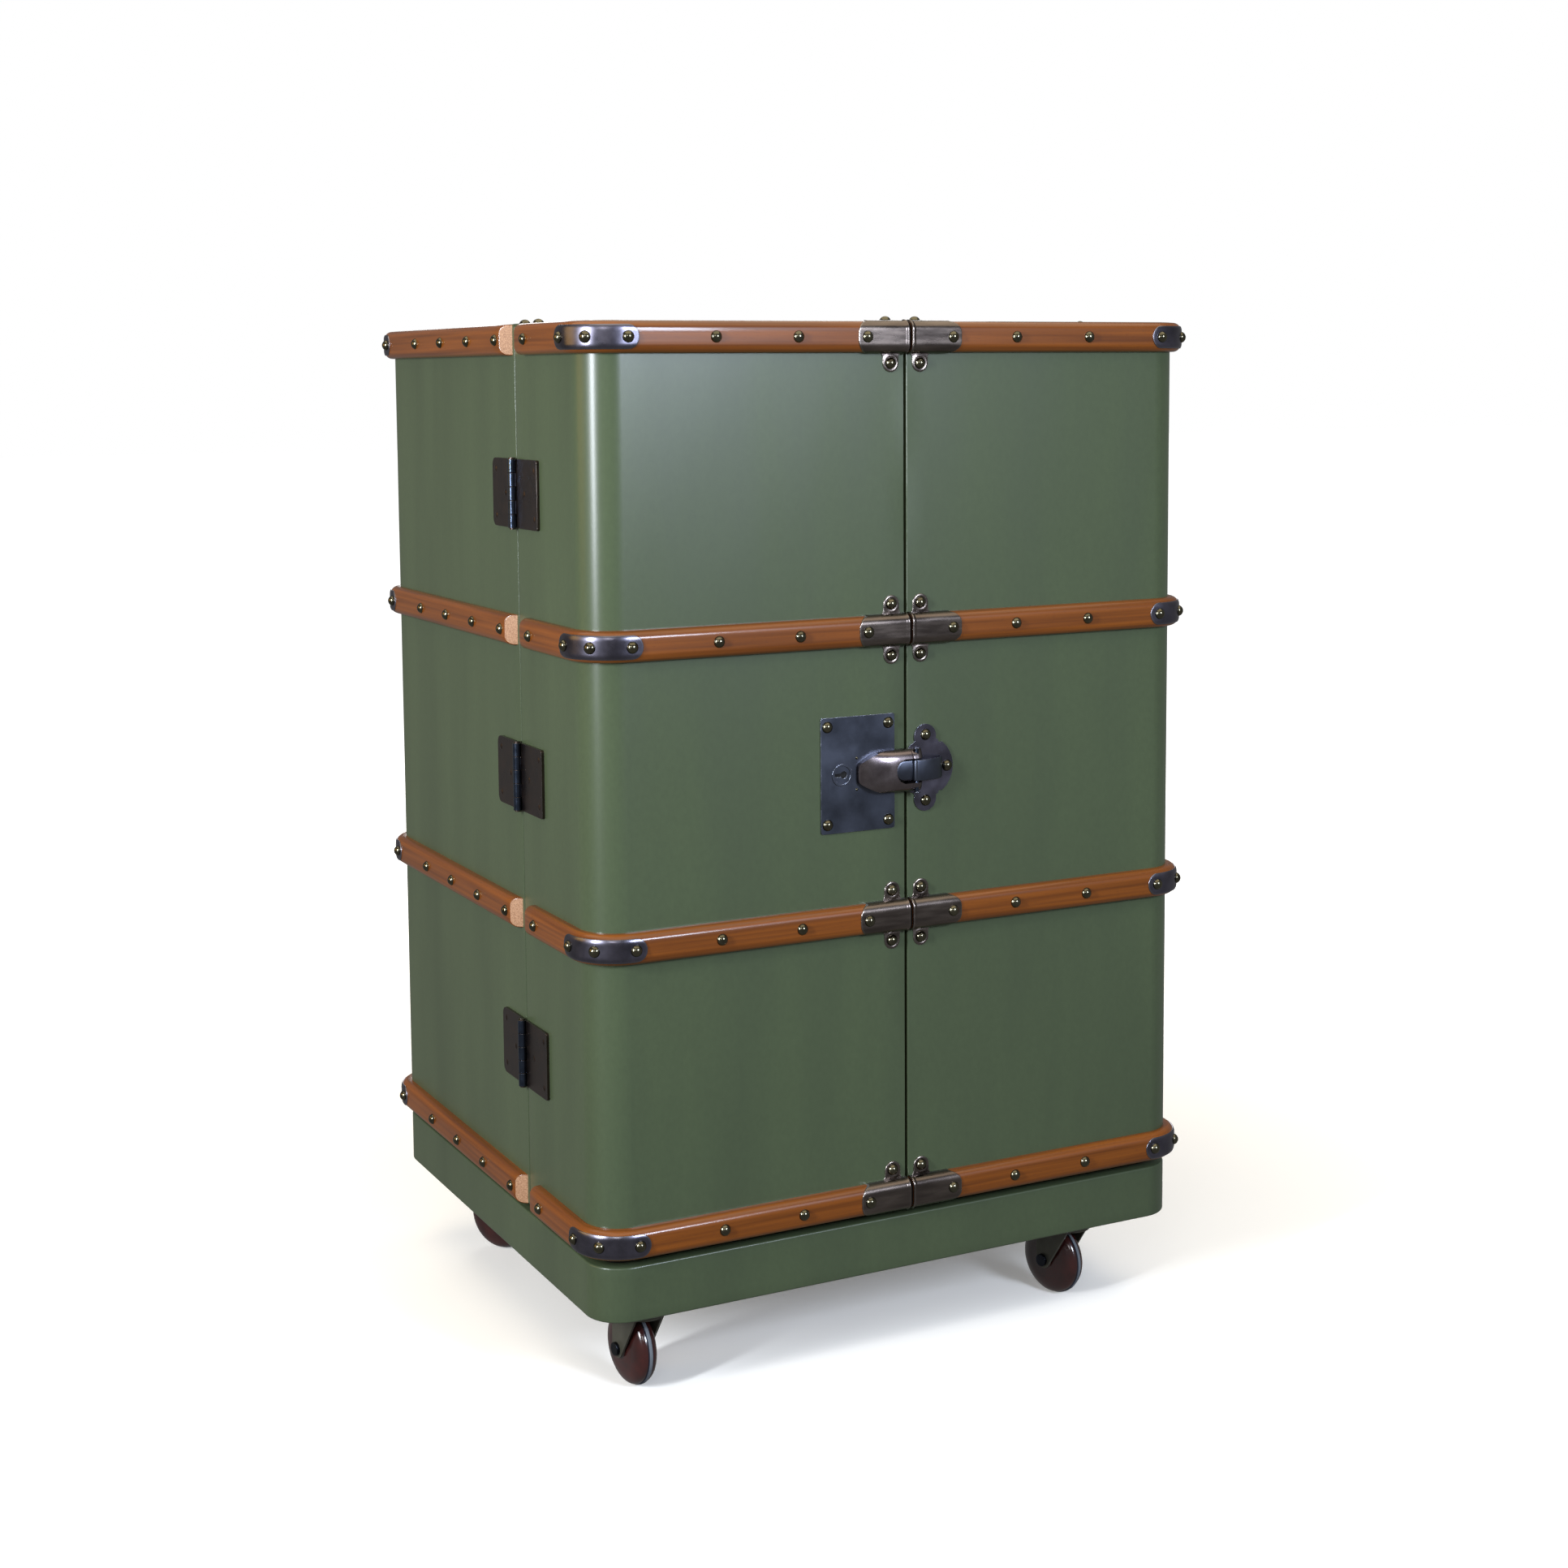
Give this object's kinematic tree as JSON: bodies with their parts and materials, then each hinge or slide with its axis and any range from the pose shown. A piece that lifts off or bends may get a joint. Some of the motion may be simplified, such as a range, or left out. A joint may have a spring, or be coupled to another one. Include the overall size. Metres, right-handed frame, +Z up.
{
  "type": "wheeled wardrobe trunk",
  "caption": "Upright storage trunk on casters: carcass with two deep hinged doors, wooden bands with domed studs, corner caps and a hasp latch.",
  "frame": {"origin": "on the floor, under the middle of the closed trunk's box", "axes": "+Z up; +X to the right seen from the front; -Y is the side with the doors and latch"},
  "size_m": [0.724, 0.639, 1.0805],
  "materials": {
    "green_cover": "satin olive-green fibre cover with a fine grain",
    "lining_wood": "satin varnished",
    "band_wood": "stained and varnished bent beech",
    "dark_board": "dark stained",
    "dark_brass": "antique, polished domes",
    "blackened_steel": "gun-blacked",
    "antique_steel": "brushed and antiqued",
    "lock_steel": "blued",
    "hinge_bronze": "bronzed",
    "caster_steel": "olive-grey satin paint",
    "axle_steel": "blacked",
    "wheel_resin": "glossy dark red-brown resin"
  },
  "bodies": {
    "carcass": {"carcass_bands": "band_wood", "carcass_bottom_board": "lining_wood", "carcass_corner_caps": "blackened_steel", "carcass_hinge_leaves": "hinge_bronze", "carcass_hinge_screws": "hinge_bronze", "carcass_seam_plates": "blackened_steel", "carcass_shelves": "lining_wood", "carcass_stiles": "lining_wood", "carcass_studs": "dark_brass", "carcass_top_board": "green_cover", "carcass_wrap": "green_cover", "caster_plate_bolts": "caster_steel", "caster_plates": "caster_steel", "hinge_pins": "hinge_bronze", "plinth_boards": "dark_board", "plinth_frame": "green_cover", "plinth_riser": "dark_board"},
    "right_door": {"hasp_pin": "lock_steel", "hasp_plate": "lock_steel", "hasp_strap": "lock_steel", "right_door_bands": "band_wood", "right_door_centre_sleeves": "antique_steel", "right_door_corner_caps": "blackened_steel", "right_door_end_boards": "lining_wood", "right_door_hinge_leaves": "hinge_bronze", "right_door_hinge_screws": "hinge_bronze", "right_door_rails": "dark_brass", "right_door_seam_plate": "blackened_steel", "right_door_shelves": "lining_wood", "right_door_stiles": "lining_wood", "right_door_studs": "dark_brass", "right_door_wrap": "green_cover"},
    "left_door": {"keyhole_collar": "lock_steel", "left_door_bands": "band_wood", "left_door_centre_sleeves": "antique_steel", "left_door_corner_caps": "blackened_steel", "left_door_end_boards": "lining_wood", "left_door_hinge_leaves": "hinge_bronze", "left_door_hinge_screws": "hinge_bronze", "left_door_rails": "dark_brass", "left_door_seam_plate": "blackened_steel", "left_door_shelves": "lining_wood", "left_door_stiles": "lining_wood", "left_door_studs": "dark_brass", "left_door_wrap": "green_cover", "lock_case": "lock_steel", "lock_plate": "lock_steel"},
    "hasp": {"hasp_body": "lock_steel"},
    "front_left_caster": {"front_left_caster_fork": "caster_steel", "front_left_caster_axle": "axle_steel"},
    "front_left_wheel": {"front_left_caster_wheel": "wheel_resin"},
    "front_right_caster": {"front_right_caster_fork": "caster_steel", "front_right_caster_axle": "axle_steel"},
    "front_right_wheel": {"front_right_caster_wheel": "wheel_resin"},
    "rear_left_caster": {"rear_left_caster_fork": "caster_steel", "rear_left_caster_axle": "axle_steel"},
    "rear_left_wheel": {"rear_left_caster_wheel": "wheel_resin"},
    "rear_right_caster": {"rear_right_caster_fork": "caster_steel", "rear_right_caster_axle": "axle_steel"},
    "rear_right_wheel": {"rear_right_caster_wheel": "wheel_resin"}
  },
  "joints": [
    {"name": "right_door_swing", "type": "hinge", "parent": "carcass", "child": "right_door", "pos_m": [0.35, -0.115, 0.62], "axis": [0, 0, 1], "range_deg": [0, 120]},
    {"name": "left_door_swing", "type": "hinge", "parent": "carcass", "child": "left_door", "pos_m": [-0.35, -0.115, 0.62], "axis": [0, 0, 1], "range_deg": [-120, 0]},
    {"name": "hasp_swing", "type": "hinge", "parent": "right_door", "child": "hasp", "pos_m": [0.006, -0.3145, 0.6215], "axis": [0, 0, 1], "range_deg": [0, 140]},
    {"name": "front_left_caster_swivel", "type": "hinge", "parent": "carcass", "child": "front_left_caster", "pos_m": [-0.277, -0.251, 0.0966], "axis": [0, 0, 1], "continuous": true},
    {"name": "front_left_wheel_spin", "type": "hinge", "parent": "front_left_caster", "child": "front_left_wheel", "pos_m": [-0.27961, -0.22614, 0.04], "axis": [-0.9945, -0.1045, 0], "continuous": true},
    {"name": "front_right_caster_swivel", "type": "hinge", "parent": "carcass", "child": "front_right_caster", "pos_m": [0.239, -0.251, 0.0966], "axis": [0, 0, 1], "continuous": true},
    {"name": "front_right_wheel_spin", "type": "hinge", "parent": "front_right_caster", "child": "front_right_wheel", "pos_m": [0.23338, -0.22664, 0.04], "axis": [-0.9744, -0.225, 0], "continuous": true},
    {"name": "rear_left_caster_swivel", "type": "hinge", "parent": "carcass", "child": "rear_left_caster", "pos_m": [-0.277, 0.215, 0.0966], "axis": [0, 0, 1], "continuous": true},
    {"name": "rear_left_wheel_spin", "type": "hinge", "parent": "rear_left_caster", "child": "rear_left_wheel", "pos_m": [-0.26412, 0.19357, 0.04], "axis": [0.8572, 0.515, 0], "continuous": true},
    {"name": "rear_right_caster_swivel", "type": "hinge", "parent": "carcass", "child": "rear_right_caster", "pos_m": [0.239, 0.215, 0.0966], "axis": [0, 0, 1], "continuous": true},
    {"name": "rear_right_wheel_spin", "type": "hinge", "parent": "rear_right_caster", "child": "rear_right_wheel", "pos_m": [0.24755, 0.19151, 0.04], "axis": [0.9397, 0.342, 0], "continuous": true}
  ],
  "couplings": [
    {"joint": "left_door_swing", "follows": "right_door_swing", "ratio": -1}
  ]
}
